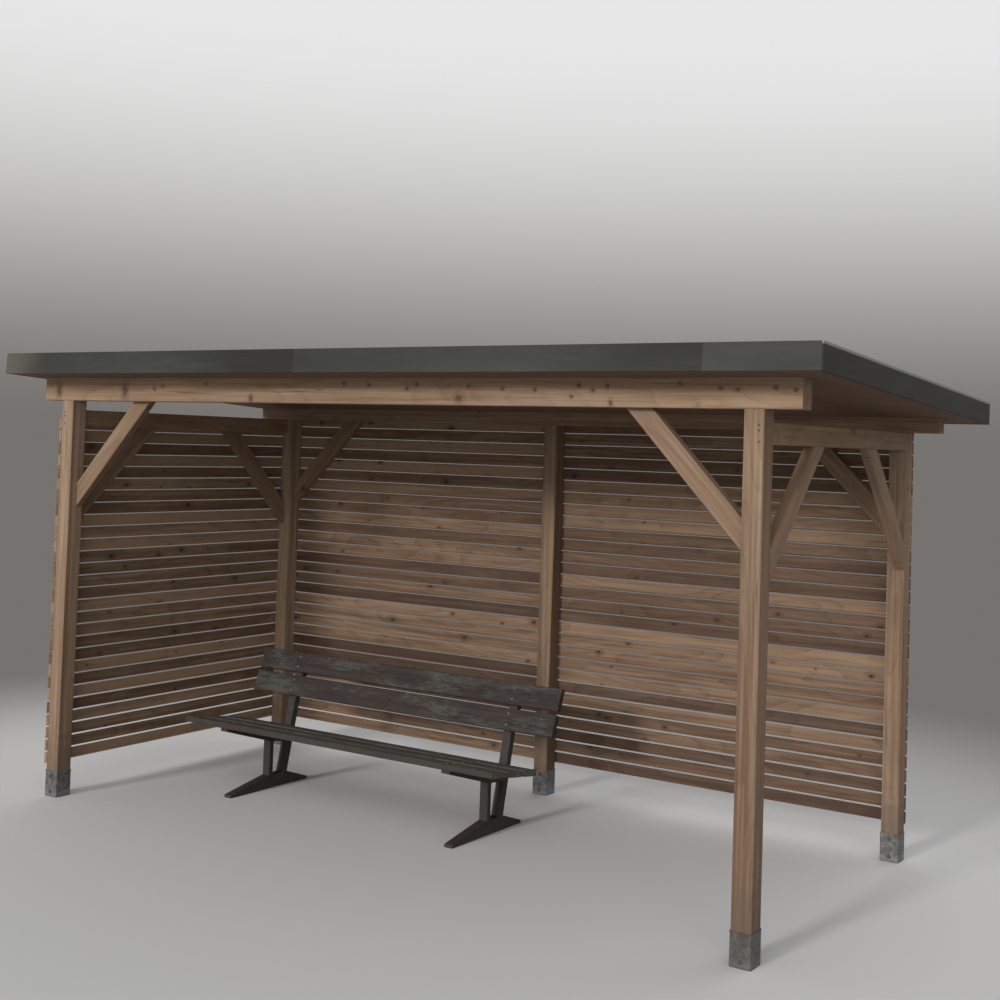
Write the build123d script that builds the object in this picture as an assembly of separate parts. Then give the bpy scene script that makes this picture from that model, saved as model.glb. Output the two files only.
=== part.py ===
from build123d import *
import math
import os

# A timber bus shelter: five square posts in steel ground sleeves carry two beams, two side rails and
# a flat panel roof that falls to the back. The left side and the back are clad with horizontal laths.
# The front and the right side are open. A free-standing bench stands inside.
# Millimetres, +X to the right along the front, +Y to the back, +Z up, ground at z = 0.
# The origin is on the ground under the middle of the roof.

# Posts and bays
post_side = 90.0
post_edge = 4.0
bay_pitch = 2096.0
bay_count = 2
depth_pitch = 1724.0
back_post_top = 2140.0
front_post_rise = 50.0

# Ground sleeves
sleeve_height = 140.0
sleeve_wall = 2.5
sleeve_play = 0.5
sleeve_plate = 4.0
sleeve_rim_height = 7.0
sleeve_rim_depth = 1.5
sleeve_hole = 9.0
sleeve_upper_hole = 24.0
sleeve_lower_hole = 28.0

# Beams and side rails
front_beam_height = 126.0
back_beam_height = 70.0
front_beam_past_left = 150.0
back_beam_past_left = 190.0
beam_past_right = 160.0
timber_edge = 3.0
rail_height = 90.0
rail_width = 45.0

# Knee braces. Reach and rise are the distances from the corner to the brace's outer edge, along the
# beam and down the post. Those under the front beam are the largest, and the rails' back ones are steep.
brace_reach = 550.0
brace_rise = 550.0
front_brace_reach = 572.0
front_brace_rise = 590.0
steep_brace_rise = 600.0
brace_depth = 92.0
brace_width = 45.0

# Wall laths with slanted edges that shed water outwards
lath_height = 60.0
lath_thickness = 20.0
lath_gap = 8.8
lath_drop = 5.0
lath_edge = 1.5
lath_first = 177.0
lath_joint = 1.0

# Roof. It reaches past the outer post faces, and its height is measured square to its slope.
roof_past_left = 210.0
roof_past_right = 329.0
roof_past_front = 222.0
roof_past_back = 216.0
roof_height = 111.0
soffit_thickness = 18.0
joist_height = 57.0
joist_width = 45.0
joist_pitch = 600.0
edge_board_width = 34.0
deck_thickness = 18.0
cover_thickness = 2.5
trim_sheet = 1.5
trim_turn_in = 12.0
trim_turn_down = 12.0
trim_length = 2160.0
trim_joint = 0.5

# Bench, placed from the outer face of the left posts and the front face of the front posts
bench_from_left = 523.0
bench_from_front = 572.0
bench_length = 2137.0
support_inset = 295.0
support_width = 50.0
foot_length = 600.0
foot_tip_height = 16.0
foot_height = 74.0
front_leg_at = 291.0
front_leg_width = 28.0
back_leg_at = 380.0
back_leg_width = 38.0
back_leg_rake = 12.0
upper_rake = 21.0
upper_rake_from = 490.0
upper_length = 252.0
bearer_depth = 75.0
bearer_tip_depth = 18.0
bearer_set_back = 15.0
support_fillet = 9.0
seat_past_tip = 60.0
seat_height = 426.0
seat_tilt = 8.3
plank_width = 118.0
plank_thickness = 30.0
plank_edge = 4.0
seat_plank_gap = 20.0
seat_plank_count = 3
back_plank_gap = 20.0
back_plank_start = 10.0
back_plank_count = 2

# Places worked out from the sizes above
post_span_x = bay_count * bay_pitch + post_side
post_span_y = depth_pitch + post_side
roof_length = roof_past_left + post_span_x + roof_past_right
roof_run = roof_past_front + post_span_y + roof_past_back
front_post_top = back_post_top + front_post_rise
front_beam_top = front_post_top + front_beam_height
back_beam_top = back_post_top + back_beam_height
roof_fall = (front_beam_top - back_beam_top) / post_span_y
roof_angle = math.degrees(math.atan(roof_fall))
roof_slope_length = roof_run / math.cos(math.radians(roof_angle))
roof_lean = roof_height * math.sin(math.radians(roof_angle))

left_x = -roof_length / 2 + roof_past_left
right_x = left_x + post_span_x
front_y = -(roof_run + roof_lean) / 2 + roof_past_front
back_row_y = front_y + depth_pitch
back_y = front_y + post_span_y

# The left wall ends below the rail's top, and the back wall's last row reaches onto the back beam
lath_pitch = lath_height + lath_gap
left_lath_count = math.floor((back_post_top - lath_first + lath_gap) / lath_pitch)
back_lath_count = left_lath_count + 1


def save(shape, name):
    export_step(shape, "parts/" + name + ".step")


def block(x0, x1, y0, y1, z0, z1):
    """A box between two corners."""
    return Pos(x0, y0, z0) * Box(x1 - x0, y1 - y0, z1 - z0, align=(Align.MIN, Align.MIN, Align.MIN))


def polygon(points):
    return make_face(Polyline(points, close=True))


def roof_place(shape):
    """Moves a shape from the roof's own frame to its slope on the beams. In the roof's frame the
    underside is at z = 0 and its front edge at y = 0."""
    start_z = front_beam_top + roof_past_front * roof_fall
    return Pos(0, front_y - roof_past_front, start_z) * Rot(-roof_angle, 0, 0) * shape


def post(x, y, top):
    """One square post with eased corners, standing on its sleeve's plate."""
    section = RectangleRounded(post_side, post_side, post_edge)
    return Pos(x + post_side / 2, y + post_side / 2, sleeve_plate) * extrude(section, top - sleeve_plate)


def sleeve(x, y):
    """A square steel cup with a turned-out rim and two screw holes through its front and back walls."""
    inner = post_side + 2 * sleeve_play
    outer = inner + 2 * sleeve_wall
    rim_side = outer + 2 * sleeve_rim_depth
    corner = post_edge + sleeve_wall
    cup = extrude(RectangleRounded(outer, outer, corner), sleeve_height)
    rim = extrude(RectangleRounded(rim_side, rim_side, corner + sleeve_rim_depth), sleeve_rim_height)
    cup += Pos(0, 0, sleeve_height - sleeve_rim_height) * rim
    cup -= Pos(0, 0, sleeve_plate) * extrude(RectangleRounded(inner, inner, post_edge), sleeve_height)
    hole = Rot(90, 0, 0) * Cylinder(sleeve_hole / 2, 2 * outer)
    cup -= Pos(0, 0, sleeve_height - sleeve_upper_hole) * hole
    cup -= Pos(0, 0, sleeve_lower_hole) * hole
    return Pos(x + post_side / 2, y + post_side / 2, 0) * cup


def beam(y, underside, past_left):
    """A beam along X on a row of posts. Its lower edges are eased and its top is planed to the roof."""
    bar = block(left_x - past_left, right_x + beam_past_right, y, y + post_side,
                underside, front_beam_top + post_side)
    bar = chamfer(bar.edges().filter_by(Axis.X).group_by(Axis.Z)[0], timber_edge)
    above = block(-roof_length, roof_length, -roof_run, 2 * roof_run, 0, front_beam_top)
    return bar - roof_place(above)


def side_rail(x):
    """A rail between a front and a back post."""
    bar = block(x, x + rail_width, front_y + post_side, back_row_y,
                back_post_top - rail_height, back_post_top)
    return chamfer(bar.edges().filter_by(Axis.Y), timber_edge)


def knee_brace(corner, outwards, reach, rise):
    """A brace under a beam or rail. The corner lies where the post's face meets the underside, in the
    middle of the brace's width, and outwards points away from the post."""
    angle = math.atan2(rise, reach)
    inner_reach = reach - brace_depth / math.sin(angle)
    inner_rise = rise - brace_depth / math.cos(angle)
    across = Vector(*outwards)
    plane = Plane(origin=corner, x_dir=across, z_dir=across.cross(Vector(0, 0, 1)))
    outline = polygon([(0, -rise), (0, -inner_rise), (inner_reach, 0), (reach, 0)])
    bar = extrude(plane * outline, amount=brace_width / 2, both=True)
    long_edges = bar.edges().filter_by(lambda edge: edge.length > max(inner_reach, inner_rise))
    return chamfer(long_edges, timber_edge)


def lath_section():
    """The lath's section: first axis outwards from the post, second axis up."""
    slope = lath_drop / lath_thickness
    bevel = lath_thickness - lath_edge
    return polygon([
        (0, 0),
        (bevel, -bevel * slope),
        (lath_thickness, -lath_drop + lath_edge),
        (lath_thickness, lath_height - lath_drop - lath_edge),
        (bevel, lath_height - bevel * slope),
        (0, lath_height),
    ])


def laths(start, outwards, along, length, count):
    """A column of parallel laths that run from the start point."""
    rows = []
    for i in range(count):
        origin = (start[0], start[1], lath_first + i * lath_pitch)
        plane = Plane(origin=origin, x_dir=outwards, z_dir=along)
        rows.append(extrude(plane * lath_section(), amount=length))
    return Compound(children=rows)


def roof_box(inset, z0, z1):
    """A box in the roof's frame, set in from the trim's outer faces on all four sides."""
    x = roof_length / 2 - inset
    return block(-x, x, inset, roof_slope_length - inset, z0, z1)


def joists():
    """Joists from front to back, evenly spaced between the side edge boards."""
    inset = trim_sheet + edge_board_width
    clear = roof_length - 2 * inset - joist_width
    spaces = math.ceil(clear / joist_pitch)
    bars = []
    for i in range(spaces + 1):
        x = -roof_length / 2 + inset + i * clear / spaces
        bar = block(x, x + joist_width, inset, roof_slope_length - inset,
                    soffit_thickness, soffit_thickness + joist_height)
        bars.append(roof_place(bar))
    return Compound(children=bars)


def edge_board(side):
    """One board of the roof's rim. The front and back boards run through at the corners."""
    x = roof_length / 2 - trim_sheet
    y0 = trim_sheet
    y1 = roof_slope_length - trim_sheet
    w = edge_board_width
    z0 = soffit_thickness
    z1 = roof_height - trim_sheet
    boards = {
        "front": (-x, x, y0, y0 + w, z0, z1),
        "back": (-x, x, y1 - w, y1, z0, z1),
        "left": (-x, -x + w, y0 + w, y1 - w, z0, z1),
        "right": (x - w, x, y0 + w, y1 - w, z0, z1),
    }
    return roof_place(block(*boards[side]))


def trim_section():
    """The folded edge trim: first axis inwards from its outer face, second axis up from the soffit."""
    t = trim_sheet
    cap = edge_board_width + 2 * t
    top = roof_height
    return polygon([
        (0, -t),
        (trim_turn_in, -t),
        (trim_turn_in, 0),
        (t, 0),
        (t, top - t),
        (cap - t, top - t),
        (cap - t, top - trim_turn_down),
        (cap, top - trim_turn_down),
        (cap, top),
        (0, top),
    ])


def trim_run(origin, along, inwards, length):
    """One straight trim in the roof's frame, mitred at both ends."""
    run = extrude(Plane(origin=origin, x_dir=inwards, z_dir=along) * trim_section(), amount=length)
    reach = edge_board_width + 4 * trim_sheet
    plan = polygon([(0, 0), (reach, reach), (reach, length - reach), (0, length)])
    ground = Plane(origin=origin, x_dir=inwards, z_dir=(0, 0, -1))
    return run & extrude(ground * plan, amount=2 * roof_height, both=True)


def side_trim(side):
    x = roof_length / 2
    y = roof_slope_length
    if side == "left":
        return roof_place(trim_run((-x, y, 0), (0, -1, 0), (1, 0, 0), y))
    return roof_place(trim_run((x, 0, 0), (0, 1, 0), (-1, 0, 0), y))


def long_trim(side):
    """The front or back trim, which comes in lengths with a fine joint between them."""
    x = roof_length / 2
    y = roof_slope_length
    if side == "front":
        whole = trim_run((-x, 0, 0), (1, 0, 0), (0, 1, 0), roof_length)
    else:
        whole = trim_run((x, y, 0), (-1, 0, 0), (0, -1, 0), roof_length)
    pieces = []
    for i in range(math.ceil(roof_length / trim_length)):
        x0 = -x + i * trim_length + trim_joint / 2
        x1 = x0 + trim_length - trim_joint
        if i == 0:
            x0 = -x
        keeper = block(x0, min(x1, x), -trim_sheet, y + trim_sheet, -roof_height, 2 * roof_height)
        pieces.append(roof_place(whole & keeper))
    return Compound(children=pieces)


# Bench. Its side view has the first axis to the back from the foot's front tip, the second axis up.
bench_x = left_x + bench_from_left
bench_y = front_y + bench_from_front
leg_slope = math.tan(math.radians(back_leg_rake))
upper_slope = math.tan(math.radians(upper_rake))
seat_slope = math.tan(math.radians(seat_tilt))


def bearer_top(y):
    """The height of the seat bearer's top, on which the seat planks lie."""
    front = seat_height - plank_thickness / math.cos(math.radians(seat_tilt))
    return front - (y + seat_past_tip) * seat_slope


def leg_front(z):
    """Where the back leg's front edge is at a height below its bend."""
    return back_leg_at + z * leg_slope


def leg_meets(height_at_zero):
    """The point where the back leg's front edge meets a line with the seat's slope."""
    z = (height_at_zero - back_leg_at * seat_slope) / (1 + leg_slope * seat_slope)
    return (leg_front(z), z)


def bench_support(x):
    """A flat-sided support: foot bar, front leg, bent back leg and seat bearer in one outline."""
    bearer_zero = bearer_top(0)
    bearer_front = bearer_set_back - seat_past_tip
    leg_x1 = front_leg_at + front_leg_width
    bend = (leg_front(upper_rake_from), upper_rake_from)
    rise = upper_length * math.cos(math.radians(upper_rake))
    top = (bend[0] + rise * upper_slope, bend[1] + rise)
    rear = back_leg_width
    outline = polygon([
        (0, 0),
        (foot_length, 0),
        (foot_length, foot_tip_height),
        (leg_front(foot_height) + rear, foot_height),
        (bend[0] + rear, bend[1]),
        (top[0] + rear, top[1]),
        top,
        bend,
        leg_meets(bearer_zero),
        (bearer_front, bearer_top(bearer_front)),
        (bearer_front, bearer_top(bearer_front) - bearer_tip_depth),
        (front_leg_at, bearer_top(front_leg_at) - bearer_depth),
        (front_leg_at, foot_height),
        (0, foot_tip_height),
    ])
    window = polygon([
        (leg_x1, foot_height),
        (leg_front(foot_height), foot_height),
        leg_meets(bearer_zero - bearer_depth),
        (leg_x1, bearer_top(leg_x1) - bearer_depth),
    ])
    window = fillet(window.vertices(), support_fillet)
    plane = Plane(origin=(x - support_width / 2, bench_y, 0), x_dir=(0, 1, 0), z_dir=(1, 0, 0))
    return extrude(plane * (outline - window), amount=support_width)


def plank(y, z, angle):
    """A plank along the bench. Its lower front edge is at y and z, and its width rises by the angle."""
    section = RectangleRounded(plank_width, plank_thickness, plank_edge)
    section = Pos(plank_width / 2, plank_thickness / 2) * section
    plane = Plane(origin=(bench_x, bench_y + y, z), x_dir=(0, 1, 0), z_dir=(1, 0, 0))
    return extrude(plane * (Rot(0, 0, angle) * section), amount=bench_length)


def seat_planks():
    planks = []
    tilt = math.radians(seat_tilt)
    for i in range(seat_plank_count):
        along = i * (plank_width + seat_plank_gap)
        y = along * math.cos(tilt) - seat_past_tip
        planks.append(plank(y, bearer_top(y), -seat_tilt))
    return Compound(children=planks)


def back_planks():
    """The planks on the front of the supports' upper length."""
    planks = []
    rake = math.radians(upper_rake)
    for i in range(back_plank_count):
        along = back_plank_start + i * (plank_width + back_plank_gap)
        y = leg_front(upper_rake_from) + along * math.sin(rake)
        z = upper_rake_from + along * math.cos(rake)
        planks.append(plank(y, z, 90 - upper_rake))
    return Compound(children=planks)


os.makedirs("parts", exist_ok=True)

# Posts and their sleeves
middle_x = left_x + bay_pitch
far_x = left_x + bay_count * bay_pitch
post_places = {
    "front_left": (left_x, front_y, front_post_top),
    "front_right": (far_x, front_y, front_post_top),
    "back_left": (left_x, back_row_y, back_post_top),
    "back_middle": (middle_x, back_row_y, back_post_top),
    "back_right": (far_x, back_row_y, back_post_top),
}
for name, (x, y, top) in post_places.items():
    save(post(x, y, top), name + "_post")
    save(sleeve(x, y), name + "_sleeve")

# Beams and rails
save(beam(front_y, front_post_top, front_beam_past_left), "front_beam")
save(beam(back_row_y, back_post_top, back_beam_past_left), "back_beam")
save(side_rail(left_x), "left_side_rail")
save(side_rail(right_x - rail_width), "right_side_rail")

# Braces under the beams lie flush with the backs of the posts, those under the rails with the sides
to_right = (1, 0, 0)
to_left = (-1, 0, 0)
to_back = (0, 1, 0)
to_front = (0, -1, 0)
front_mid_y = front_y + post_side - brace_width / 2
back_mid_y = back_y - brace_width / 2
left_mid_x = left_x + brace_width / 2
right_mid_x = right_x - brace_width / 2
rail_underside = back_post_top - rail_height
plain = (brace_reach, brace_rise)
large = (front_brace_reach, front_brace_rise)
steep = (brace_reach, steep_brace_rise)
braces = {
    "front_left_brace": ((left_x + post_side, front_mid_y, front_post_top), to_right, large),
    "front_right_brace": ((far_x, front_mid_y, front_post_top), to_left, large),
    "back_left_brace": ((left_x + post_side, back_mid_y, back_post_top), to_right, plain),
    "back_right_brace": ((far_x, back_mid_y, back_post_top), to_left, plain),
    "left_side_front_brace": ((left_mid_x, front_y + post_side, rail_underside), to_back, plain),
    "left_side_back_brace": ((left_mid_x, back_row_y, rail_underside), to_front, steep),
    "right_side_front_brace": ((right_mid_x, front_y + post_side, rail_underside), to_back, plain),
    "right_side_back_brace": ((right_mid_x, back_row_y, rail_underside), to_front, steep),
}
for name, (corner, outwards, (reach, rise)) in braces.items():
    save(knee_brace(corner, outwards, reach, rise), name)

# Lath walls. The back laths cover the ends of the left ones and meet on the middle post.
joint_x = middle_x + post_side / 2
save(laths((left_x, front_y), to_left, to_back, post_span_y, left_lath_count), "left_wall_laths")
back_left_start = left_x - lath_thickness
back_left_length = joint_x - lath_joint / 2 - back_left_start
save(laths((back_left_start, back_y), to_back, to_right, back_left_length, back_lath_count),
     "back_wall_left_laths")
back_right_start = joint_x + lath_joint / 2
save(laths((back_right_start, back_y), to_back, to_right, right_x - back_right_start, back_lath_count),
     "back_wall_right_laths")

# Roof
deck_z = soffit_thickness + joist_height
cover_z = deck_z + deck_thickness
rim_inset = trim_sheet + edge_board_width
save(roof_place(roof_box(trim_sheet, 0, soffit_thickness)), "roof_soffit")
save(joists(), "roof_joists")
save(roof_place(roof_box(rim_inset, deck_z, cover_z)), "roof_deck")
save(roof_place(roof_box(rim_inset, cover_z, cover_z + cover_thickness)), "roof_covering")
for side in ("front", "back", "left", "right"):
    save(edge_board(side), side + "_edge_board")
save(long_trim("front"), "front_trim")
save(long_trim("back"), "back_trim")
save(side_trim("left"), "left_trim")
save(side_trim("right"), "right_trim")

# Bench
save(bench_support(bench_x + support_inset), "bench_left_support")
save(bench_support(bench_x + bench_length - support_inset), "bench_right_support")
save(seat_planks(), "bench_seat_planks")
save(back_planks(), "bench_back_planks")
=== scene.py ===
import bmesh
import bpy
import math
import random
from mathutils import Matrix, Vector


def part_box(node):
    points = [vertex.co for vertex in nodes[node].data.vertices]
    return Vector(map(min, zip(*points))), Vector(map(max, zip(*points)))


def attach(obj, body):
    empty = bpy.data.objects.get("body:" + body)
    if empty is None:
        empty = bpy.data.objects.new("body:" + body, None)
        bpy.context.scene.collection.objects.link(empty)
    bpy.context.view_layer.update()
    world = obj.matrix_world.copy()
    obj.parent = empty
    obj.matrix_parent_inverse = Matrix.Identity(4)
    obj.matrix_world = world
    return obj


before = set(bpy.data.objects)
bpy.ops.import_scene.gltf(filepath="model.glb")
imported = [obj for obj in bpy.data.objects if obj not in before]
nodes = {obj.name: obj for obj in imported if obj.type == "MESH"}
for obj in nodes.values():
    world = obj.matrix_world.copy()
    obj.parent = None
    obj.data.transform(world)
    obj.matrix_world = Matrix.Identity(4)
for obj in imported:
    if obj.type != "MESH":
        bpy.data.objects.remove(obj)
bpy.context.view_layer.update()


# ---- Places and sizes, in metres, that the fasteners and materials share with the solids ----

X, Y, Z = Vector((1, 0, 0)), Vector((0, 1, 0)), Vector((0, 0, 1))
POSTS = ("front_left", "front_right", "back_left", "back_middle", "back_right")
LEFT_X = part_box("front_left_post")[0].x
RIGHT_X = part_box("front_right_post")[1].x
FRONT_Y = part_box("front_left_post")[0].y
BACK_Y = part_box("back_left_post")[1].y
MIDDLE_X = sum(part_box("back_middle_post")[i].x for i in (0, 1)) / 2
POST_HALF = .045
RAIL_HALF = .0225
SLEEVE_HALF = .048
SLEEVE_HOLES = (.14 - .024, .028)

# Each knee brace, and the way it leans as it rises: 1 towards +x or +y, -1 towards -x or -y
BRACES = {
    "front_left_brace": 1, "front_right_brace": -1,
    "back_left_brace": 1, "back_right_brace": -1,
    "left_side_front_brace": 1, "left_side_back_brace": -1,
    "right_side_front_brace": 1, "right_side_back_brace": -1,
}

LATH_FIRST = .177
LATH_PITCH = .0688
LATH_THICK = .02
BACK_WALL_ROWS = 29
LEFT_WALL_ROWS = 28

# The timber of a lath starts in the gap below it
LATH_TIMBER_FROM = LATH_FIRST - .0069

ROOF_PITCH = math.radians(3.344)
COVER_THICK = .0025

# The bench's front tips, its seat, and its supports' raked upper length
BENCH_Y = FRONT_Y + .572
SEAT_HEIGHT = .426
SEAT_PAST_TIP = .06
SEAT_TILT = math.radians(8.3)
BACK_LEG_AT = .38
BACK_LEG_RAKE = math.radians(12)
BACK_FROM = .49
BACK_RAKE = math.radians(21)
BACK_START = .01
PLANK_THICK = .03
PLANK_PITCH = .138
PLANK_BOLTS = (.029, .089)
SEAT_BACKWARDS = Vector((0, math.cos(SEAT_TILT), -math.sin(SEAT_TILT)))
SEAT_UP = Vector((0, math.sin(SEAT_TILT), math.cos(SEAT_TILT)))
BACK_UPWARDS = Vector((0, math.sin(BACK_RAKE), math.cos(BACK_RAKE)))
BACK_OUT = Vector((0, -math.cos(BACK_RAKE), math.sin(BACK_RAKE)))


# ---- Camera: the photograph's viewing point, found from the posts' and roof's corners ----

CAMERA_PLACE = Vector((4.3171, -5.8414, 2.0162))
CAMERA_YAW, CAMERA_PITCH, CAMERA_ROLL = (math.radians(a) for a in (31.709, 2.1709, 1.7753))
SENSOR_WIDTH = 36
FOCAL_PER_WIDTH = 1.3605
CAMERA_SHIFT = (-.0901, -.1039)


def make_camera():
    yaw, pitch, roll = CAMERA_YAW, CAMERA_PITCH, CAMERA_ROLL
    ahead = Vector((-math.sin(yaw) * math.cos(pitch), math.cos(yaw) * math.cos(pitch), math.sin(pitch)))
    level = Vector((math.cos(yaw), math.sin(yaw), 0))
    upright = level.cross(ahead)
    right = level * math.cos(roll) + upright * math.sin(roll)
    up = upright * math.cos(roll) - level * math.sin(roll)
    data = bpy.data.cameras.new("camera")
    data.sensor_width = SENSOR_WIDTH
    data.lens = SENSOR_WIDTH * FOCAL_PER_WIDTH
    data.shift_x, data.shift_y = CAMERA_SHIFT
    data.clip_end = 200
    camera = bpy.data.objects.new("camera", data)
    camera.matrix_world = Matrix((
        (right.x, up.x, -ahead.x, CAMERA_PLACE.x),
        (right.y, up.y, -ahead.y, CAMERA_PLACE.y),
        (right.z, up.z, -ahead.z, CAMERA_PLACE.z),
        (0, 0, 0, 1),
    ))
    bpy.context.scene.collection.objects.link(camera)
    bpy.context.scene.camera = camera


# ---- Node graphs ----

def rgb(r, g, b):
    """A colour given in 0 to 255 steps of sRGB, as the linear colour that a socket takes."""
    def linear(c):
        c /= 255
        return c / 12.92 if c <= .04045 else ((c + .055) / 1.055) ** 2.4
    return (linear(r), linear(g), linear(b), 1)


class Graph:
    """A material's node tree, with short names for the nodes used here."""

    def __init__(self, name):
        self.material = bpy.data.materials.new(name)
        self.material.use_nodes = True
        self.tree = self.material.node_tree
        self.bsdf = self.tree.nodes["Principled BSDF"]
        coordinates = self.tree.nodes.new("ShaderNodeTexCoord")
        self.place = coordinates.outputs["Object"]

    def put(self, value, socket):
        if isinstance(value, bpy.types.NodeSocket):
            self.tree.links.new(value, socket)
        else:
            socket.default_value = value

    def math(self, operation, a, b=0, c=0, clamp=False):
        node = self.tree.nodes.new("ShaderNodeMath")
        node.operation = operation
        node.use_clamp = clamp
        for value, socket in zip((a, b, c), node.inputs):
            self.put(value, socket)
        return node.outputs[0]

    def vector(self, operation, a, b=(0, 0, 0)):
        node = self.tree.nodes.new("ShaderNodeVectorMath")
        node.operation = operation
        self.put(a, node.inputs[0])
        self.put(b, node.inputs[1])
        return node.outputs["Value" if operation in ("DOT_PRODUCT", "LENGTH") else "Vector"]

    def swing(self, value, amount, base):
        """Base with value's distance from one half added, amount times."""
        return self.math("MULTIPLY_ADD", self.math("SUBTRACT", value, .5), amount, base)

    def combine(self, x, y, z):
        node = self.tree.nodes.new("ShaderNodeCombineXYZ")
        for value, socket in zip((x, y, z), node.inputs):
            self.put(value, socket)
        return node.outputs[0]

    def split(self, vector):
        node = self.tree.nodes.new("ShaderNodeSeparateXYZ")
        self.put(vector, node.inputs[0])
        return node.outputs[:3]

    def noise(self, vector, scale=1, detail=2, roughness=.5):
        node = self.tree.nodes.new("ShaderNodeTexNoise")
        self.put(vector, node.inputs["Vector"])
        node.inputs["Scale"].default_value = scale
        node.inputs["Detail"].default_value = detail
        node.inputs["Roughness"].default_value = roughness
        return node.outputs["Fac"]

    def cells(self, vector, scale=1):
        node = self.tree.nodes.new("ShaderNodeTexVoronoi")
        self.put(vector, node.inputs["Vector"])
        node.inputs["Scale"].default_value = scale
        return node.outputs

    def chance(self, number):
        """A random value from 0 to 1 that belongs to the number."""
        node = self.tree.nodes.new("ShaderNodeTexWhiteNoise")
        node.noise_dimensions = "1D"
        self.put(number, node.inputs["W"])
        return node.outputs["Value"]

    def span(self, value, low, high, out_low=0, out_high=1):
        """A smooth step of value from low to high."""
        node = self.tree.nodes.new("ShaderNodeMapRange")
        node.interpolation_type = "SMOOTHSTEP"
        for number, socket in zip((value, low, high, out_low, out_high), node.inputs):
            self.put(number, socket)
        return node.outputs[0]

    def ramp(self, value, stops):
        node = self.tree.nodes.new("ShaderNodeValToRGB")
        self.put(value, node.inputs[0])
        elements = node.color_ramp.elements
        while len(elements) < len(stops):
            elements.new(.5)
        for element, (position, colour) in zip(elements, stops):
            element.position = position
            element.color = colour
        return node.outputs[0]

    def mix(self, share, a, b):
        node = self.tree.nodes.new("ShaderNodeMix")
        node.data_type = "RGBA"
        self.put(share, node.inputs["Factor"])
        self.put(a, node.inputs["A"])
        self.put(b, node.inputs["B"])
        return node.outputs["Result"]

    def bump(self, height, distance, strength=1, below=None):
        node = self.tree.nodes.new("ShaderNodeBump")
        self.put(height, node.inputs["Height"])
        node.inputs["Distance"].default_value = distance
        node.inputs["Strength"].default_value = strength
        if below is not None:
            self.put(below, node.inputs["Normal"])
        return node.outputs[0]

    def finish(self, colour, roughness, normal=None, **sockets):
        """Fills the shader. Further sockets are given by name, such as specular_ior_level."""
        self.put(colour, self.bsdf.inputs["Base Color"])
        self.put(roughness, self.bsdf.inputs["Roughness"])
        if normal is not None:
            self.put(normal, self.bsdf.inputs["Normal"])
        for name, value in sockets.items():
            self.bsdf.inputs[name.replace("_", " ").title().replace("Ior", "IOR")].default_value = value
        return self.material


# ---- Timber ----

THIN_BOARD = .08
RING_WIDTH = .0052


def single_knots(g, u, across, marks, core, halo):
    """Adds single knots to the masks of the knots' cores and of the grain bent round them."""
    nearest = 9
    height = g.vector("DOT_PRODUCT", g.place, across)
    for u0, v0, half_u, half_v in marks:
        offset = g.combine(g.math("MULTIPLY_ADD", u, 1 / half_u, -u0 / half_u),
                           g.math("MULTIPLY_ADD", height, 1 / half_v, -v0 / half_v), 0)
        nearest = g.math("MINIMUM", g.vector("LENGTH", offset), nearest)
    nearest = g.swing(g.noise(g.place, 70, 2), 1.6, nearest)
    core = g.math("MAXIMUM", core, g.span(nearest, 1.2, .6, 0, .75))
    halo = g.math("MAXIMUM", halo, g.span(nearest, 2.8, .9))
    return core, halo


def drying_checks(g, board, share):
    """Thin cracks along the grain, open here and there."""
    line = g.noise(g.vector("MULTIPLY", board, (.55, 34, 34)), detail=1)
    line = g.span(g.math("ABSOLUTE", g.math("SUBTRACT", line, .5)), .006, .0015)
    open_here = g.span(g.noise(g.vector("MULTIPLY", board, (.9, 9, 9)), detail=1), .53, .6)
    return g.math("MULTIPLY", g.math("MULTIPLY", line, open_here), share)


def add_algae(g, board, colour, share):
    """Grey-green growth in flecks, and dark stains."""
    growth = g.noise(g.vector("MULTIPLY", board, (2.4, 8, 8)), detail=3, roughness=.55)
    fleck = g.noise(g.vector("MULTIPLY", board, (16, 75, 75)), detail=4, roughness=.7)
    growth = g.swing(fleck, .9, growth)
    colour = g.mix(g.math("MULTIPLY", g.span(growth, .47, .74), share), colour, rgb(90, 95, 86))
    stain = g.noise(g.vector("MULTIPLY", board, (5, 22, 22)), detail=4, roughness=.7)
    return g.mix(g.span(stain, .52, .7, 0, .6), colour, rgb(36, 31, 30))


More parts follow.
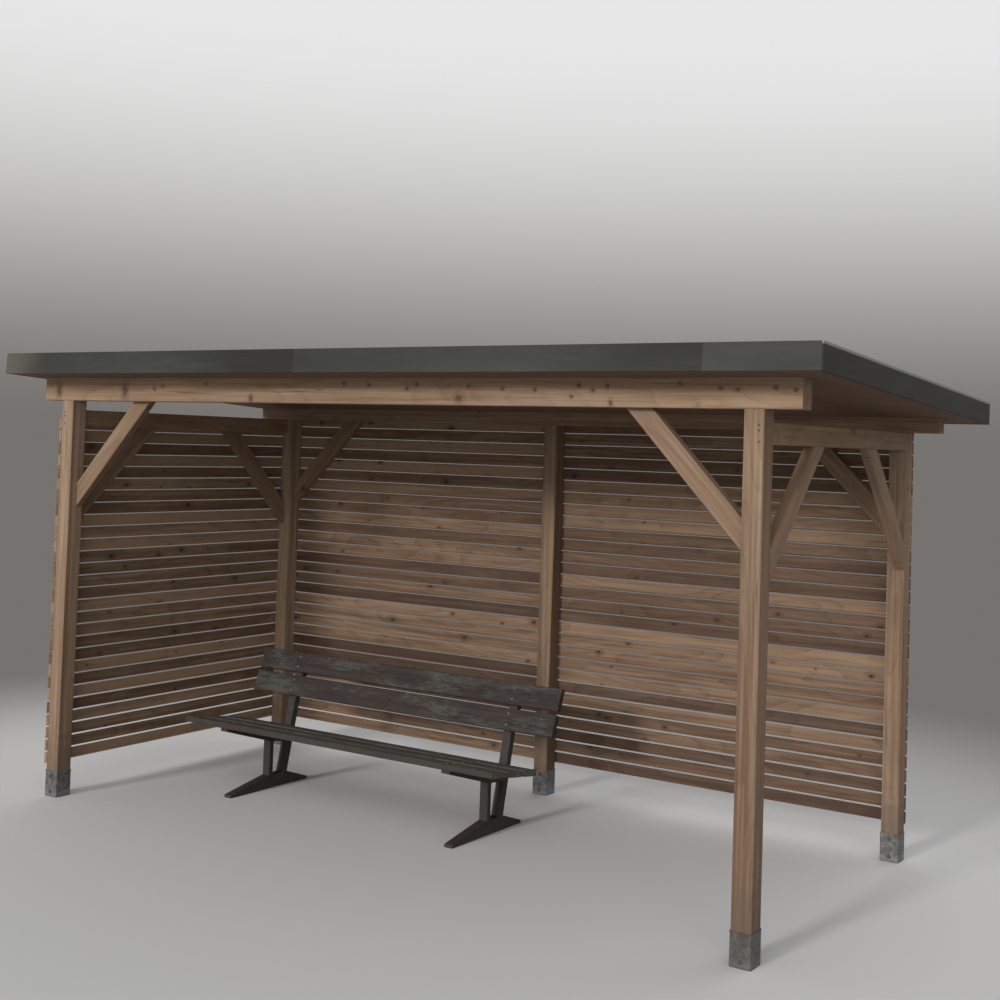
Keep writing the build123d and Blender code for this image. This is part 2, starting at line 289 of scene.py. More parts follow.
def timber(name, along, across, start, pitch, palette, seed=0, knot_every=.42, knot_share=.5,
           knot_size=.016, board_variation=.35, grey=.3, checks=.5, streaks=0, bias=(0, 0), algae=0,
           fade=None, marks=()):
    """Sawn timber. The grain runs along, and boards lie side by side across, one every pitch from start.
    The palette gives the dark, middle and pale wood, silvered wood and knots. The bias is painted light and
    shade: it is added to the tone near the ground and under the roof, and lightens or darkens a part as
    light
    would. Marks are single knots: place along, place across, half length, half height."""
    g = Graph(name)
    through = along.cross(across)
    u = g.vector("DOT_PRODUCT", g.place, along)
    v = g.math("SUBTRACT", g.vector("DOT_PRODUCT", g.place, across), start)
    w = g.vector("DOT_PRODUCT", g.place, through)
    index = g.math("FLOOR", g.math("DIVIDE", v, pitch))
    number = g.math("ADD", index, seed)
    luck = [g.chance(g.math("ADD", g.math("MULTIPLY", number, 3.7), k * 17.3)) for k in range(4)]
    v_local = g.math("SUBTRACT", v, g.math("MULTIPLY", g.math("ADD", index, .5), pitch))
    u_local = g.math("ADD", u, g.math("MULTIPLY", luck[0], 9))
    w_local = g.math("ADD", w, g.math("MULTIPLY", luck[1], .3))

    # Knots: ellipses that lie along the grain. Those in a lath run right through it
    thin = pitch < THIN_BOARD
    cell = (knot_every, max(pitch, .09), 9 if thin else .09)
    v_far = g.math("ADD", v_local, g.math("MULTIPLY", luck[2], 5))
    board = g.combine(u_local, v_far, w_local)
    scaled = g.vector("DIVIDE", board, cell)
    knots = g.cells(scaled)
    away = g.vector("MULTIPLY", g.vector("SUBTRACT", scaled, knots["Position"]),
                    (cell[0] * .6, cell[1], 0 if thin else cell[2]))
    knot_luck = g.split(knots["Color"])
    size = g.math("MULTIPLY", g.math("MULTIPLY_ADD", knot_luck[0], .75, .25), knot_size)
    there = g.math("LESS_THAN", knot_luck[1], knot_share)
    ratio = g.math("DIVIDE", g.vector("LENGTH", away), size)
    core = g.math("MULTIPLY", g.span(ratio, .62, .5), there)
    halo = g.math("MULTIPLY", g.span(ratio, 2.4, .5), there)
    if marks:
        core, halo = single_knots(g, u, across, marks, core, halo)

    # Growth rings about a pith behind the board, bent round the knots
    wander = g.noise(g.vector("MULTIPLY", board, (1.1, 5, 5)), detail=1)
    dv = g.math("SUBTRACT", v_local, g.math("MULTIPLY_ADD", luck[3], .09, -.045))
    dw = g.math("ADD", w_local, .06)
    radius = g.math("SQRT", g.math("ADD", g.math("MULTIPLY", dv, dv), g.math("MULTIPLY", dw, dw)))
    radius = g.math("MULTIPLY_ADD", wander, .05, radius)
    radius = g.math("MULTIPLY_ADD", halo, .006, radius)
    ring = g.math("FRACT", g.math("DIVIDE", radius, RING_WIDTH))
    late = g.math("MULTIPLY", g.math("POWER", ring, 3), g.span(ring, 1, .93))

    # Tone: fine streaks, bands and patches, and each board's own share
    streak = g.noise(g.vector("MULTIPLY", board, (2.2, 90, 90)), detail=4, roughness=.6)
    band = g.noise(g.vector("MULTIPLY", board, (.7, 26, 26)), detail=2)
    patch = g.noise(g.vector("MULTIPLY", board, (1.6, 7, 7)), detail=3)
    tone = g.swing(patch, .5, g.swing(band, .8, g.swing(streak, .9, .5)))
    tone = g.math("MULTIPLY_ADD", late, -.2, tone)
    if streaks:
        long_streak = g.noise(g.vector("MULTIPLY", board, (.28, 44, 44)), detail=3, roughness=.6)
        tone = g.swing(long_streak, streaks, tone)
    board_tone = g.math("SUBTRACT", luck[1], .5)
    tone = g.math("MULTIPLY_ADD", board_tone, board_variation, tone, clamp=True)
    # Painted light and shade: the bias lifts or lowers the tone near the ground and under the roof
    if bias != (0, 0):
        tone = g.math("ADD", tone, g.span(g.split(g.place)[2], .4, 2.2, *bias), clamp=True)
    dark, mid, pale, ashen, knot = palette
    colour = g.ramp(tone, [(0, dark), (.5, mid), (1, pale)])

    # Silvering in patches, drying checks, knots
    silver = g.noise(g.vector("MULTIPLY", board, (1.2, 15, 15)), detail=4, roughness=.65)
    colour = g.mix(g.math("MULTIPLY", g.span(silver, .45, .75), grey), colour, ashen)
    check = drying_checks(g, board, checks)
    colour = g.mix(g.math("MULTIPLY", halo, .45), colour, g.mix(.5, dark, knot))
    colour = g.mix(g.math("MULTIPLY", core, .9), colour, knot)
    colour = g.mix(g.math("MULTIPLY", check, .85), colour, knot)
    if algae:
        colour = add_algae(g, board, colour, algae)
    if fade:
        colour = fade(g, colour)

    relief = g.math("MULTIPLY_ADD", streak, .8, g.math("MULTIPLY", late, .35))
    relief = g.math("MULTIPLY_ADD", core, .5, relief)
    relief = g.math("MULTIPLY_ADD", check, -2.5, relief)
    normal = g.bump(relief, .0009, .7)
    roughness = g.math("MULTIPLY_ADD", streak, .22, .66, clamp=True)
    return g.finish(colour, roughness, normal, specular_ior_level=.3)


def ground_dirt(g, colour):
    """Damp, splashed timber just above the ground sleeves."""
    z = g.split(g.place)[2]
    splash = g.noise(g.place, 26, 4, .6)
    reach = g.math("SUBTRACT", g.math("MULTIPLY_ADD", splash, .5, .05), z)
    return g.mix(g.span(reach, -.12, .12, 0, .55), colour, rgb(92, 78, 66))


def darker_front_edge(g, colour):
    """The seat's front edge is darker."""
    y = g.split(g.place)[1]
    return g.mix(g.span(y, BENCH_Y - .05, BENCH_Y - .056, 0, .85), colour, rgb(46, 40, 37))


# Palettes: dark, middle and pale wood, silvered wood, knots
FRESH = (rgb(112, 87, 67), rgb(142, 115, 91), rgb(168, 144, 120), rgb(146, 142, 136), rgb(64, 46, 37))
POST = (rgb(102, 79, 61), rgb(132, 107, 85), rgb(158, 134, 111), rgb(140, 135, 128), rgb(60, 44, 36))
LATH = (rgb(70, 51, 39), rgb(102, 79, 61), rgb(142, 116, 92), rgb(116, 106, 95), rgb(50, 36, 30))
SEAT = (rgb(54, 47, 43), rgb(78, 69, 62), rgb(102, 91, 82), rgb(106, 106, 98), rgb(34, 28, 26))
BACKREST = (rgb(32, 26, 24), rgb(45, 36, 33), rgb(62, 51, 46), rgb(70, 66, 60), rgb(25, 20, 19))
SOFFIT = (rgb(98, 76, 61), rgb(111, 88, 72), rgb(124, 101, 83), rgb(116, 103, 90), rgb(72, 54, 45))
ROUGH = (rgb(126, 98, 72), rgb(150, 120, 92), rgb(172, 146, 116), rgb(150, 140, 126), rgb(74, 52, 40))


# The front beam's knots: place along, height, half length, half height
BEAM_KNOTS = [(-2.236, 2.248, .016, .027), (-1.687, 2.245, .017, .031), (-.741, 2.211, .011, .017),
              (.569, 2.223, .019, .016), (1.371, 2.208, .008, .012)]
BEAM_KNOTS += [(x, z, .0085, .007) for x, z in (
    (-1.455, 2.256), (-1.393, 2.27), (-1.066, 2.284), (-.123, 2.288), (.034, 2.281), (.266, 2.263),
    (.324, 2.286), (.623, 2.278), (.81, 2.266), (.984, 2.261), (1.172, 2.234), (1.209, 2.283),
    (1.282, 2.26), (1.354, 2.28), (1.7, 2.29), (1.885, 2.273), (1.962, 2.267), (2.127, 2.274),
    (2.212, 2.266))]


def brace_lines(name):
    """A brace's lower tip, the directions along it and square to it towards the corner, its length."""
    low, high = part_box(name)
    size = high - low
    level = X if size.x > size.y else Y
    away = BRACES[name]
    reach = size.dot(level)
    middle = (low + high) / 2
    tip = middle - level * away * reach / 2 - Z * size.z / 2
    run = level * away * reach + Z * size.z
    across = (Z * reach - level * away * size.z).normalized()
    return tip, run.normalized(), across, run.length


def seat_corner(i):
    """The lower front edge of a seat plank, at x = 0."""
    y = i * PLANK_PITCH * math.cos(SEAT_TILT) - SEAT_PAST_TIP
    top = SEAT_HEIGHT - PLANK_THICK / math.cos(SEAT_TILT) - (y + SEAT_PAST_TIP) * math.tan(SEAT_TILT)
    return Vector((0, BENCH_Y + y, top))


def back_corner(i):
    """The lower edge of a back plank where it lies on the supports, at x = 0."""
    along = BACK_START + i * PLANK_PITCH
    foot = BENCH_Y + BACK_LEG_AT + BACK_FROM * math.tan(BACK_LEG_RAKE)
    return Vector((0, foot + along * math.sin(BACK_RAKE), BACK_FROM + along * math.cos(BACK_RAKE)))


def dress(name, material):
    """Puts a material on every slot of a CAD node."""
    for place in nodes[name].material_slots:
        place.material = material


def dress_timber(name, along, across, start, pitch, palette, **look):
    """Gives a CAD node a timber of its own."""
    dress(name, timber(name, along, across, start, pitch, palette, **look))


def dress_frame():
    """Posts, beams, rails and braces."""
    # Painted light and shade: each part's bias lightens or darkens it near the ground and under the roof;
    # the back beam, the right side rail and the braces are darkened throughout
    post_bias = ((0, .12), (-.22, -.12), (.2, .25), (-.4, -.05), (0, .1))
    for i, (post, bias) in enumerate(zip(POSTS, post_bias)):
        name = post + "_post"
        dress_timber(name, Z, X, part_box(name)[0].x - .01, .11, POST, seed=3 + 7 * i, knot_every=.5,
                     knot_share=.3, knot_size=.014, board_variation=.12, grey=.22, checks=.9,
                     streaks=1.4, bias=bias, fade=ground_dirt)
    for i, (name, marks, bias) in enumerate((("front_beam", BEAM_KNOTS, (0, 0)),
                                             ("back_beam", (), (-.2, -.2)))):
        dress_timber(name, X, Z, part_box(name)[0].z - .05, .25, FRESH, seed=41 + i, knot_every=.38,
                     knot_share=.15, knot_size=.02, board_variation=.1, grey=.2, checks=.6,
                     streaks=.5, bias=bias, marks=marks)
    for i, (name, bias) in enumerate((("left_side_rail", (0, 0)), ("right_side_rail", (-.15, -.15)))):
        dress_timber(name, Y, Z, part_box(name)[0].z - .05, .2, FRESH, seed=51 + i, knot_every=.4,
                     knot_share=.7, knot_size=.022, board_variation=.15, grey=.15, checks=.4, bias=bias)
    for i, name in enumerate(BRACES):
        corner, along, across, length = brace_lines(name)
        middle = (corner + along * length / 2).dot(across)
        # Painted light: the right side's front brace has the paler palette, as it is lit more
        palette = FRESH if name == "right_side_front_brace" else POST
        dress_timber(name, along, across, middle - .1, .2, palette, seed=61 + 5 * i, knot_every=.34,
                     knot_share=.5, knot_size=.018, board_variation=.2, grey=.18, checks=.5,
                     bias=(-.12, -.12))


def dress_walls_and_roof():
    back = dict(knot_every=.45, knot_share=.4, knot_size=.018, board_variation=.9)
    # Painted light and shade: each wall's bias lightens its laths under the roof; the back wall's laths are
    # also darkened near the ground, the left wall's lightened there
    for name, along, look in (
            ("left_wall_laths", Y, dict(seed=11, bias=(.22, .42), knot_every=.5, knot_share=.35,
                                        knot_size=.017, board_variation=.85)),
            ("back_wall_left_laths", X, dict(seed=230, bias=(-.22, .4), **back)),
            ("back_wall_right_laths", X, dict(seed=355, bias=(-.13, .28), **back))):
        dress_timber(name, along, Z, LATH_TIMBER_FROM, LATH_PITCH, LATH, grey=.2, **look)
    dress_timber("roof_soffit", X, Y, -1.3, .6, SOFFIT, seed=301, knot_share=.12, knot_size=.008,
                 board_variation=.08, grey=.1, checks=0)
    for i, (name, along) in enumerate((("front_edge_board", X), ("back_edge_board", X),
                                       ("left_edge_board", Y), ("right_edge_board", Y),
                                       ("roof_joists", Y), ("roof_deck", X))):
        dress_timber(name, along, Z, 0, 4, ROUGH, seed=311 + i)


def dress_bench():
    for name, across, corner, palette, look in (
            ("bench_seat_planks", SEAT_BACKWARDS, seat_corner(0), SEAT,
             dict(seed=401, knot_every=.38, knot_share=.6, knot_size=.024, grey=.9, algae=.95,
                  fade=darker_front_edge)),
            ("bench_back_planks", BACK_UPWARDS, back_corner(0), BACKREST,
             dict(seed=431, knot_every=.36, knot_share=.7, knot_size=.026, grey=.4, algae=.38))):
        dress_timber(name, X, across, corner.dot(across) - .01, PLANK_PITCH, palette,
                     board_variation=.3, checks=1, **look)


# ---- Metal, covering ----

# The front and back trims' joints, and a plane just inside the right trim's outer face
TRIM_JOINTS = (-.2505, 1.9095)
RIGHT_TRIM_FACE = 2.404


def coated_metal():
    """Dark green-grey coated sheet. Each length of it has its own slight tone and a long shallow wave.
    Painted shade darkens its right side and each length towards its joint, and a painted highlight lies
    along the right side's top fold and back corner.
    """
    g = Graph("trim_metal")
    low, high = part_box("right_trim")
    back = high.y
    top = high.z + low.y * math.tan(ROOF_PITCH)
    x, y, z = g.split(g.place)
    length = g.math("ADD", *(g.math("GREATER_THAN", x, joint) for joint in TRIM_JOINTS))
    own = g.chance(g.math("ADD", length, 5.3))
    cloud = g.noise(g.vector("MULTIPLY", g.place, (1.1, 1.1, 5)), detail=3, roughness=.55)
    fine = g.noise(g.place, 190, 3, .6)
    chalk = g.noise(g.vector("MULTIPLY", g.place, (3, 3, 28)), detail=5, roughness=.6)
    tone = g.swing(own, .3, g.swing(cloud, 1.3, .5))
    # Painted shade: the right trim's outer side is darkened
    right_side = g.math("GREATER_THAN", x, RIGHT_TRIM_FACE)
    tone = g.math("MULTIPLY_ADD", right_side, -.8, tone)

    # Painted shade: towards each joint a length is darkened, as a bowed sheet is shaded there, more at the
    # front than at the back
    seen = g.math("MULTIPLY_ADD", g.math("LESS_THAN", y, 0), .65, .35)
    for joint, share in zip(TRIM_JOINTS, (.45, .6)):
        painted_bow_shade = g.math("MULTIPLY", g.span(x, joint - .85, joint - .1), g.math("LESS_THAN", x, joint))
        painted_bow_shade = g.math("MULTIPLY", painted_bow_shade, seen)
        tone = g.math("MULTIPLY_ADD", painted_bow_shade, -share, tone, clamp=True)
    colour = g.ramp(tone, [(0, rgb(43, 42, 38)), (.5, rgb(54, 55, 50)), (1, rgb(66, 67, 61))])
    colour = g.mix(g.span(chalk, .52, .74, 0, .25), colour, rgb(76, 76, 69))
    # The left end is paler
    end = g.span(g.math("MULTIPLY_ADD", cloud, .3, x), -1.9, -2.3)
    colour = g.mix(g.math("MULTIPLY", end, .6), colour, rgb(104, 99, 89))

    # Painted highlight: the right side's top fold and back corner are paler, as if they catch the light
    level = g.math("MULTIPLY_ADD", y, math.tan(ROOF_PITCH), z)
    painted_fold_highlight = g.math("MAXIMUM", g.span(level, top - .012, top - .008), g.span(y, back - .014, back - .011))
    colour = g.mix(g.math("MULTIPLY", g.math("MULTIPLY", painted_fold_highlight, right_side), .9), colour, rgb(136, 138, 134))

    wave = g.noise(g.vector("MULTIPLY", g.place, (2.2, 2.2, 3)), detail=1)
    normal = g.bump(wave, .006, .5)
    normal = g.bump(fine, .0002, .6, normal)
    roughness = g.math("MULTIPLY_ADD", chalk, .3, .42)
    return g.finish(colour, roughness, normal, specular_ior_level=.15)


def galvanised(name, painted_shade):
    """Hot-dip zinc with crystals, paler and bluish where it has weathered near the ground, with grime. The
    second argument, from 0 to 1, is painted shade: it darkens the grime's colour and lays it over the whole
    sleeve, for a sleeve that lies in shade."""
    g = Graph(name)
    z = g.split(g.place)[2]
    crystals = g.cells(g.vector("MULTIPLY", g.place, (1, 1, .7)), 75)
    facet = g.split(crystals["Color"])
    mottle = g.noise(g.place, 34, 5, .62)
    tone = g.math("MULTIPLY_ADD", facet[0], .4, g.math("MULTIPLY", mottle, .75), clamp=True)
    colour = g.ramp(tone, [(.1, rgb(68, 66, 62)), (.5, rgb(92, 90, 86)), (1, rgb(130, 131, 130))])
    low = g.span(g.math("MULTIPLY_ADD", mottle, .09, z), .1, .03, 0, .65)
    colour = g.mix(low, colour, rgb(138, 146, 154))
    grime = g.noise(g.vector("MULTIPLY", g.place, (22, 22, 9)), detail=5, roughness=.7)
    # Grime, and painted shade: the second argument darkens the grime and lays it over the whole sleeve
    dirt_and_shade = rgb(92 - 50 * painted_shade, 84 - 54 * painted_shade, 74 - 50 * painted_shade)
    colour = g.mix(g.span(grime, .5, .72, painted_shade, .6), colour, dirt_and_shade)
    soil = g.span(g.math("MULTIPLY_ADD", mottle, .02, z), .026, .008, 0, .7)
    colour = g.mix(soil, colour, rgb(84, 72, 60))
    roughness = g.math("MULTIPLY_ADD", mottle, .35, .3)
    normal = g.bump(g.math("MULTIPLY_ADD", facet[1], .25, mottle), .0005, .5)
    return g.finish(colour, roughness, normal, metallic=.45)


def painted_iron():
    """The bench supports: near-black paint over rough metal, rubbed and a little rusty at the foot."""
    g = Graph("bench_metal")
    z = g.split(g.place)[2]
    grain = g.noise(g.place, 260, 4, .6)
    worn = g.noise(g.place, 16, 6, .68)
    colour = g.mix(g.span(worn, .5, .72), rgb(50, 45, 43), rgb(68, 63, 58))
    low = g.span(g.math("MULTIPLY_ADD", worn, .12, z), .15, .05)
    rust = g.span(g.noise(g.place, 48, 5, .7), .5, .62)
    colour = g.mix(g.math("MULTIPLY", g.math("MULTIPLY", low, rust), .6), colour, rgb(84, 58, 44))
    roughness = g.math("MULTIPLY_ADD", worn, .35, .45)
    normal = g.bump(grain, .0005, .6)
    return g.finish(colour, roughness, normal, specular_ior_level=.3)


def membrane():
    """Mineral roofing felt, faded and a little dirty towards the lower edge."""
    g = Graph("roof_membrane")
    y = g.split(g.place)[1]
    grit = g.cells(g.place, 420)
    speck = g.split(grit["Color"])[0]
    cloud = g.noise(g.place, 1.9, 5, .6)
    colour = g.ramp(speck, [(0, rgb(70, 72, 68)), (.6, rgb(92, 94, 88)), (1, rgb(124, 126, 118))])
    colour = g.mix(g.span(cloud, .4, .7, 0, .5), colour, rgb(112, 108, 98))
    moss = g.noise(g.vector("MULTIPLY", g.place, (5, 3, 3)), detail=6, roughness=.7)
    edge = g.span(y, .5, 1.1)
    colour = g.mix(g.math("MULTIPLY", g.span(moss, .55, .68), edge), colour, rgb(86, 92, 62))
    normal = g.bump(grit["Distance"], .0012, .7)
    return g.finish(colour, .92, normal, specular_ior_level=.2)


def dull_steel(name, colour, roughness, metallic):
    """Small fasteners, weathered."""
    g = Graph(name)
    worn = g.noise(g.place, 420, 4, .6)
    dark = tuple(c * .55 for c in colour[:3]) + (1,)
    shade = g.mix(g.span(worn, .35, .7), colour, dark)
    roughness = g.math("MULTIPLY_ADD", worn, .25, roughness)
    return g.finish(shade, roughness, g.bump(worn, .0002), metallic=metallic)


def dress_metal():
    coated = coated_metal()
    for side in ("front", "back", "left", "right"):
        dress(side + "_trim", coated)
    zinc = galvanised("galvanised_steel", 0)
    for post in POSTS:
        dress(post + "_sleeve", zinc)
    # Painted shade: the front right sleeve gets a darkened copy of the zinc
    dress("front_right_sleeve", galvanised("galvanised_steel_painted_shade", .42))
    iron = painted_iron()
    for side in ("left", "right"):
        dress("bench_" + side + "_support", iron)
    dress("roof_covering", membrane())


# ---- Fasteners, built as turned forms ----

RECESS_RINGS = 3
SCREW_JOG = .003
LATH_SCREWS = (.014, .040)
RAIL_SCREWS = (2.127, 2.105, 2.06)
BRACE_SCREWS_IN = .055
BRACE_SCREW_SHIFTS = (-.01, .011)

# From the middle of the middle post to the screws of each length of the back wall, which meet there
TO_JOINT_SCREWS = .018


def turned(bm, place, profile, sides, first_sides=None):
    """Adds a form turned about its own z axis. The profile is (radius, height), from the centre of the top
    outwards. Its first rings may have fewer sides, as a recess has."""
    rings = []
    for k, (radius, height) in enumerate(profile):
        if radius == 0:
            rings.append([bm.verts.new(place @ Vector((0, 0, height)))])
            continue
        n = first_sides if first_sides and k < RECESS_RINGS else sides
        ring = []
        for i in range(sides):
            a = 2 * math.pi * i / sides
            r = radius
            if n != sides:
                step = 2 * math.pi / n
                r = radius * math.cos(step / 2) / math.cos((a % step) - step / 2)
            ring.append(bm.verts.new(place @ Vector((r * math.cos(a), r * math.sin(a), height))))
        rings.append(ring)
    for inner, outer in zip(rings, rings[1:]):
        for i in range(sides):
            j = (i + 1) % sides
            if len(inner) == 1:
                bm.faces.new((inner[0], outer[i], outer[j]))
            else:
                bm.faces.new((inner[i], outer[i], outer[j], inner[j]))
    bm.faces.new(list(reversed(rings[-1])))


def facing(point, normal, turn=0):
    """A place at point whose z axis is the normal."""
    spin = Matrix.Rotation(turn, 4, "Z")
    return Matrix.Translation(point) @ normal.to_track_quat("Z", "Y").to_matrix().to_4x4() @ spin


def countersunk(bm, place):
    """A screw head that lies in the timber, with a six-sided recess."""
    profile = [(0, -.0016), (.0021, -.0016), (.0023, .0004), (.0046, .0006), (.005, 0), (.005, -.001)]
    turned(bm, place, profile, 12, 6)


def coach_screw(bm, place):
    """A hexagon head on a round washer."""
    turned(bm, place @ Matrix.Translation((0, 0, .0022)),
           [(0, .0056), (.0058, .0056), (.0075, .0046), (.0075, 0)], 6)
    turned(bm, place, [(0, .0022), (.0112, .0022), (.012, .0014), (.012, -.0005)], 24)


def coach_bolt(bm, place):
    """A shallow round bolt head."""
    turned(bm, place, [(0, .0052), (.004, .005), (.0072, .0038), (.0094, .0016), (.0098, -.0005)], 16)


def piece(name, bm, material, smooth=False):
    """Turns bm into a piece that rides on the part's one body."""
    mesh = bpy.data.meshes.new(name)
    bmesh.ops.recalc_face_normals(bm, faces=bm.faces)
    bm.to_mesh(mesh)
    bm.free()
    mesh.materials.append(material)
    if smooth:
        mesh.shade_smooth()
    made = bpy.data.objects.new(name, mesh)
    bpy.context.scene.collection.objects.link(made)
    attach(made, "root")


def add_lath_screws(rng, material):
    """Two screws where a lath crosses a post."""
    bm = bmesh.new()
    back_crossings = (LEFT_X + POST_HALF, MIDDLE_X - TO_JOINT_SCREWS, MIDDLE_X + TO_JOINT_SCREWS,
                      RIGHT_X - POST_HALF)
    left_crossings = (FRONT_Y + POST_HALF, BACK_Y - POST_HALF)
    for row in range(BACK_WALL_ROWS):
        for height in LATH_SCREWS:
            z = LATH_FIRST + row * LATH_PITCH + height
            for x in back_crossings:
                point = Vector((x + rng.uniform(-SCREW_JOG, SCREW_JOG), BACK_Y + LATH_THICK, z))
                countersunk(bm, facing(point, Y, rng.uniform(0, 1)))
            if row < LEFT_WALL_ROWS:
                for y in left_crossings:
                    point = Vector((LEFT_X - LATH_THICK, y + rng.uniform(-SCREW_JOG, SCREW_JOG), z))
                    countersunk(bm, facing(point, -X, rng.uniform(0, 1)))
    piece("lath_screws", bm, material)


def add_timber_screws(rng, material):
    """Screws through the front posts into the side rails, and through the braces' outer edges."""
    bm = bmesh.new()
    for x in (LEFT_X + RAIL_HALF, RIGHT_X - RAIL_HALF):
        for z in RAIL_SCREWS:
            countersunk(bm, facing(Vector((x, FRONT_Y, z)), -Y, rng.uniform(0, 1)))
    for name in BRACES:
        tip, along, across, length = brace_lines(name)
        sideways = along.cross(across)
        for t in (BRACE_SCREWS_IN, length - BRACE_SCREWS_IN):
            for shift in BRACE_SCREW_SHIFTS:
                point = tip + along * t + sideways * shift
                countersunk(bm, facing(point, -across, rng.uniform(0, 1)))
    piece("timber_screws", bm, material)


def add_sleeve_screws(rng, material):
    """Coach screws in the sleeves' front and back walls."""
    bm = bmesh.new()
    for post in POSTS:
        low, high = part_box(post + "_sleeve")
        for z in SLEEVE_HOLES:
            for normal in (-Y, Y):
                point = Vector(((low.x + high.x) / 2, (low.y + high.y) / 2, z)) + normal * SLEEVE_HALF
                coach_screw(bm, facing(point, normal, rng.uniform(0, 1)))
    piece("sleeve_screws", bm, material)


def add_bench_bolts(material):
    """Bolts through the bench planks into the supports."""
    bm = bmesh.new()
    for name in ("bench_left_support", "bench_right_support"):
        low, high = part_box(name)
        x = (low.x + high.x) / 2
        for count, corner, across, outwards in ((3, seat_corner, SEAT_BACKWARDS, SEAT_UP),
                                                (2, back_corner, BACK_UPWARDS, BACK_OUT)):
            for i in range(count):
                for t in PLANK_BOLTS:
                    point = corner(i) + across * t + outwards * PLANK_THICK
                    coach_bolt(bm, facing(Vector((x, point.y, point.z)), outwards))
    piece("bench_bolts", bm, material, smooth=True)


def add_fasteners():
    rng = random.Random(7)
    add_lath_screws(rng, dull_steel("screw_steel", rgb(96, 88, 80), .5, .5))
    # Painted shade: the screws in the posts and braces have a darker steel, for the shade in their recesses
    add_timber_screws(rng, dull_steel("screw_steel_painted_shade", rgb(60, 52, 47), .6, .25))
    bolt_steel = dull_steel("bolt_steel", rgb(100, 98, 92), .45, .6)
    add_sleeve_screws(rng, bolt_steel)
    add_bench_bolts(bolt_steel)


# ---- Roofing felt ----

LAP_PLACES = (-.17, .78)
LAP_SECTION = ((-.1, 0), (-.098, .0012), (-.004, .0024), (0, .0016), (0, 0))
LAP_STEPS = 60


def add_felt_laps():
    """The upper sheet's edge where two lengths of roofing felt overlap."""
    low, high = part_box("roof_covering")
    bm = bmesh.new()
    tilt = Matrix.Rotation(-ROOF_PITCH, 4, "X")
    half = (high.x - low.x) / 2 - .002
    for y in LAP_PLACES:
        t = (y - low.y) / (high.y - low.y)
        top = high.z + (low.z + COVER_THICK - high.z) * t
        place = Matrix.Translation(((low.x + high.x) / 2, y, top)) @ tilt
        rings = []
        for k in range(LAP_STEPS + 1):
            x = -half + 2 * half * k / LAP_STEPS
            wave = .0025 * math.sin(k * 1.7) + .0015 * math.sin(k * .61)
            rings.append([bm.verts.new(place @ Vector((x, a + wave, h))) for a, h in LAP_SECTION])
        for a, b in zip(rings, rings[1:]):
            for i in range(len(LAP_SECTION)):
                j = (i + 1) % len(LAP_SECTION)
                bm.faces.new((a[i], a[j], b[j], b[i]))
        bm.faces.new(rings[0])
        bm.faces.new(list(reversed(rings[-1])))
    piece("felt_laps", bm, nodes["roof_covering"].material_slots[0].material)


# ---- Stage and light ----

PALE = (.80, .80, .80, 1)
HORIZON = (.18, .168, .158, 1)
SKY_LIGHT = (.9, .95, 1, 1)
SKY_STRENGTH = .5
FLOOR_SEEN = (.62, .605, .59, 1)
FLOOR_LIT = (.34, .33, .32, 1)
FLOOR_RADIUS = 60
FADE_CENTRE = Vector((0, -.9, 0))
FADE_FROM, FADE_TO = 2.5, 6.2


def seen_rays(tree):
    """1 for the camera's and reflections' rays, 0 for those that carry light."""
    path = tree.nodes.new("ShaderNodeLightPath")
    either = tree.nodes.new("ShaderNodeMath")
    either.operation = "MAXIMUM"
    tree.links.new(path.outputs["Is Camera Ray"], either.inputs[0])
    tree.links.new(path.outputs["Is Glossy Ray"], either.inputs[1])
    return either.outputs[0]


def mix_shaders(tree, share, a, b, output):
    """Sends shader a, or b by its share, to the tree's output node."""
    mix = tree.nodes.new("ShaderNodeMixShader")
    for socket, source in zip(mix.inputs, (share, a, b)):
        tree.links.new(source, socket)
    tree.links.new(mix.outputs[0], tree.nodes[output].inputs[0])


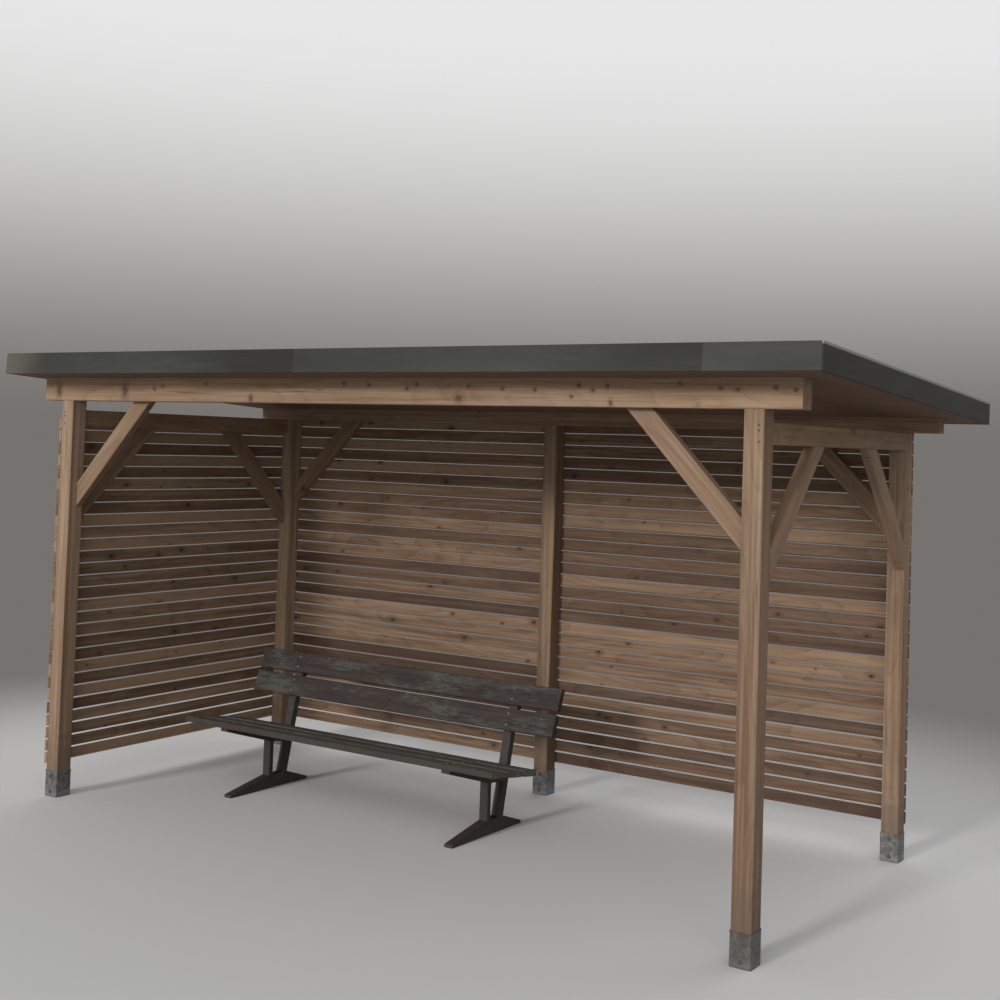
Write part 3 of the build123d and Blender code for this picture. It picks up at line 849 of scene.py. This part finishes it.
def make_world():
    """A backdrop that pales upwards from the horizon, and an even, slightly cool light."""
    world = bpy.data.worlds.new("world")
    bpy.context.scene.world = world
    world.use_nodes = True
    tree = world.node_tree
    shown = tree.nodes["Background"]
    shown.inputs["Strength"].default_value = 1
    direction = tree.nodes.new("ShaderNodeTexCoord")
    split = tree.nodes.new("ShaderNodeSeparateXYZ")
    tree.links.new(direction.outputs["Generated"], split.inputs[0])
    height = tree.nodes.new("ShaderNodeMapRange")
    height.interpolation_type = "SMOOTHSTEP"
    height.inputs["From Min"].default_value = 0
    height.inputs["From Max"].default_value = .3
    tree.links.new(split.outputs["Z"], height.inputs["Value"])
    grade = tree.nodes.new("ShaderNodeMix")
    grade.data_type = "RGBA"
    grade.inputs["A"].default_value = HORIZON
    grade.inputs["B"].default_value = PALE
    tree.links.new(height.outputs[0], grade.inputs["Factor"])
    tree.links.new(grade.outputs["Result"], shown.inputs["Color"])
    light = tree.nodes.new("ShaderNodeBackground")
    light.inputs["Color"].default_value = SKY_LIGHT
    light.inputs["Strength"].default_value = SKY_STRENGTH
    mix_shaders(tree, seen_rays(tree), light.outputs[0], shown.outputs[0], "World Output")


def make_floor():
    """A pale floor that fades into the horizon's colour away from the part."""
    g = Graph("floor")
    seen = seen_rays(g.tree)
    g.finish(g.mix(seen, FLOOR_LIT, FLOOR_SEEN), .9, specular_ior_level=.1)
    far = g.span(g.vector("LENGTH", g.vector("SUBTRACT", g.place, FADE_CENTRE)), FADE_FROM, FADE_TO)
    glow = g.tree.nodes.new("ShaderNodeEmission")
    glow.inputs["Color"].default_value = HORIZON
    faded = g.math("MULTIPLY", far, seen)
    mix_shaders(g.tree, faded, g.bsdf.outputs[0], glow.outputs[0], "Material Output")
    bm = bmesh.new()
    bmesh.ops.create_circle(bm, cap_ends=True, segments=96, radius=FLOOR_RADIUS)
    mesh = bpy.data.meshes.new("floor")
    bm.to_mesh(mesh)
    bm.free()
    mesh.materials.append(g.material)
    floor = bpy.data.objects.new("floor", mesh)
    bpy.context.scene.collection.objects.link(floor)


def add_light(name, azimuth, elevation, strength, angle, colour=(1, 1, 1)):
    """A wide, soft distant lamp. Azimuth is turned from the front, positive towards the right."""
    data = bpy.data.lights.new(name, "SUN")
    data.energy = strength
    data.angle = math.radians(angle)
    data.color = colour
    lamp = bpy.data.objects.new(name, data)
    a, e = math.radians(azimuth), math.radians(elevation)
    source = Vector((math.sin(a) * math.cos(e), -math.cos(a) * math.cos(e), math.sin(e)))
    lamp.matrix_world = source.to_track_quat("Z", "Y").to_matrix().to_4x4()
    bpy.context.scene.collection.objects.link(lamp)


make_camera()
bpy.context.scene.view_settings.view_transform = "Standard"
make_world()
make_floor()
add_light("key", -8, 17, 1.75, 10, (1, .98, .95))
add_light("soft", 24, 12, 1.6, 70)
add_light("fill", 150, 40, .3, 40)
add_light("rear", 200, 9, .9, 60)
dress_frame()
dress_walls_and_roof()
dress_bench()
dress_metal()
add_fasteners()
add_felt_laps()
